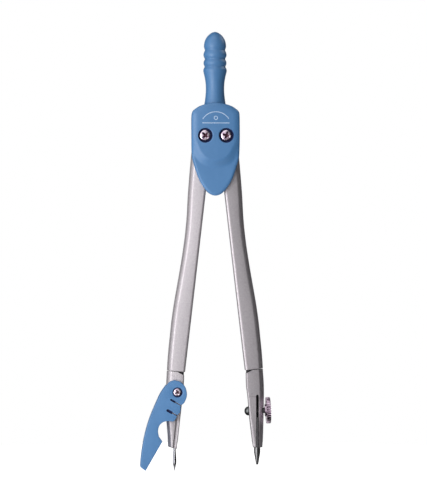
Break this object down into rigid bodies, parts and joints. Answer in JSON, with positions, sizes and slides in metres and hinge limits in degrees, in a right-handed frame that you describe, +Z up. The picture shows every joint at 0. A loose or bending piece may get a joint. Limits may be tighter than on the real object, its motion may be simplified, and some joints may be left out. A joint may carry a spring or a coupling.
{
  "type": "drawing compass",
  "caption": "Drawing compass with two geared, folding legs under a moulded cover, a ribbed handle, a guarded steel needle and a screw-clamped lead.",
  "frame": {"origin": "middle of the ribbed grip, on its axis, where a hand holds it", "axes": "+Z up along the handle away from the points, -Y towards the viewer at the front, +X to the lead side"},
  "size_m": [0.0421, 0.0098, 0.1405],
  "materials": {
    "blue_plastic": "satin moulded blue plastic",
    "silver_paint": "sparkling silver grey paint on die-cast metal",
    "nickel": "nickel plate",
    "steel": "bright ground steel",
    "nylon": "natural nylon",
    "graphite": "polished graphite"
  },
  "bodies": {
    "housing": {"handle_grip": "blue_plastic", "front_cover": "blue_plastic", "rear_cover": "blue_plastic", "pivot_screw_left": "nickel", "pivot_screw_right": "nickel", "pivot_nut_left": "steel", "pivot_nut_right": "steel", "front_washer_left": "nylon", "front_washer_right": "nylon", "rear_washer_left": "nylon", "rear_washer_right": "nylon"},
    "needle_leg": {"needle_leg": "silver_paint", "needle_knee_pin": "steel"},
    "lead_leg": {"lead_leg": "silver_paint", "lead_knee_pin": "steel"},
    "needle_lower": {"needle_holder": "silver_paint", "needle": "steel"},
    "lead_lower": {"lead_holder": "silver_paint"},
    "guard": {"needle_guard": "blue_plastic", "guard_screw": "nickel", "guard_nut": "nickel"},
    "jaw": {"clamp_jaw": "silver_paint"},
    "thumbscrew": {"clamp_stud": "nickel", "clamp_knob": "nickel"},
    "lead": {"lead": "graphite"}
  },
  "joints": [
    {"name": "needle_leg_pivot", "type": "hinge", "parent": "housing", "child": "needle_leg", "pos_m": [-0.00336, 0, -0.021], "axis": [0, 1, 0], "range_deg": [-6, 60]},
    {"name": "lead_leg_pivot", "type": "hinge", "parent": "housing", "child": "lead_leg", "pos_m": [0.00336, 0, -0.021], "axis": [0, 1, 0], "range_deg": [-60, 6]},
    {"name": "needle_knee", "type": "hinge", "parent": "needle_leg", "child": "needle_lower", "pos_m": [-0.0117, 0, -0.0946], "axis": [0, -1, 0], "range_deg": [0, 20]},
    {"name": "lead_knee", "type": "hinge", "parent": "lead_leg", "child": "lead_lower", "pos_m": [0.0117, 0, -0.0946], "axis": [0, 1, 0], "range_deg": [0, 20]},
    {"name": "guard_pivot", "type": "hinge", "parent": "needle_lower", "child": "guard", "pos_m": [-0.0121, 0, -0.1029], "axis": [0, -1, 0], "range_deg": [-60, 20]},
    {"name": "clamp_screw", "type": "hinge", "parent": "lead_lower", "child": "thumbscrew", "pos_m": [0.0131, 0, -0.10895], "axis": [0.9994, 0, 0.0349], "range_deg": [0, 360]},
    {"name": "clamp_jaw_slide", "type": "slide", "parent": "lead_lower", "child": "jaw", "axis": [-0.9994, 0, -0.0349], "range_m": [0, 0.0005]},
    {"name": "lead_slide", "type": "slide", "parent": "lead_lower", "child": "lead", "axis": [0, 0, 1], "range_m": [-0.009, 0.0004]}
  ],
  "couplings": [
    {"joint": "lead_leg_pivot", "follows": "needle_leg_pivot", "ratio": -1},
    {"joint": "clamp_screw", "follows": "clamp_jaw_slide", "rad_per_m": 12566}
  ]
}
